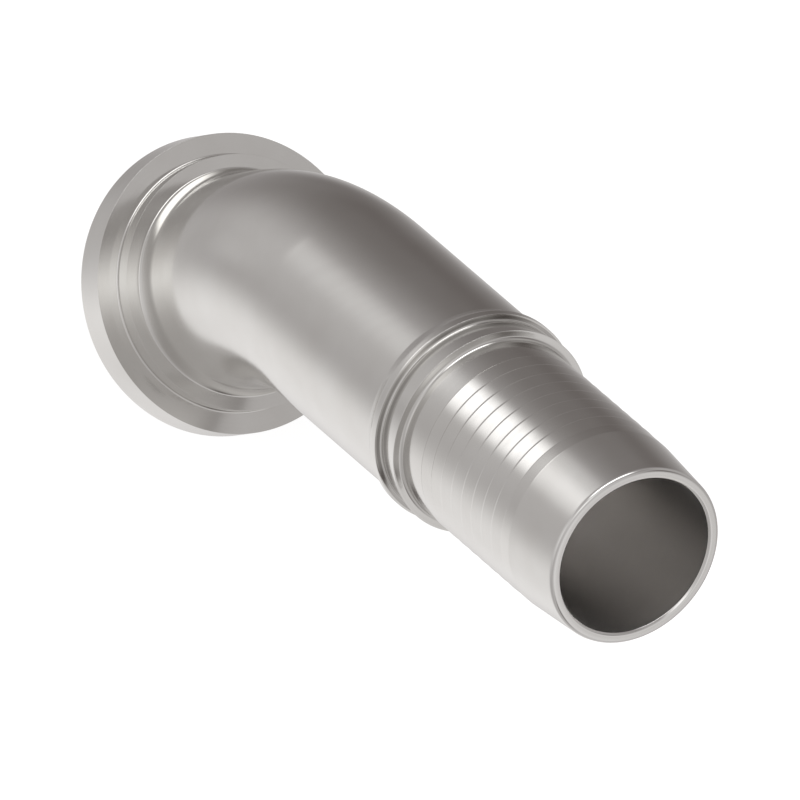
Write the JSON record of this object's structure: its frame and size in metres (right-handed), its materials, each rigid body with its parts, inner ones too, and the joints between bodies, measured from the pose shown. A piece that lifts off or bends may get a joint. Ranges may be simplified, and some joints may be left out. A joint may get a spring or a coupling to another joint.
{
  "type": "angled hose nipple",
  "caption": "Metal hose fitting with a round flange head for a face seal and split clamps, a bent tube, a crimp collar and a grooved tail that a hose is crimped onto.",
  "frame": {"origin": "centre of the sealing face, where the flange axis meets its plane", "axes": "+Z along the flange axis from the sealing face into the tube; the tail leans towards +X in the XZ plane, which is the plane of symmetry"},
  "size_m": [0.1111, 0.0604, 0.1629],
  "materials": {
    "nipple": "satin turned and bent stainless steel"
  },
  "bodies": {
    "root": {"nipple": "nipple"}
  },
  "joints": []
}
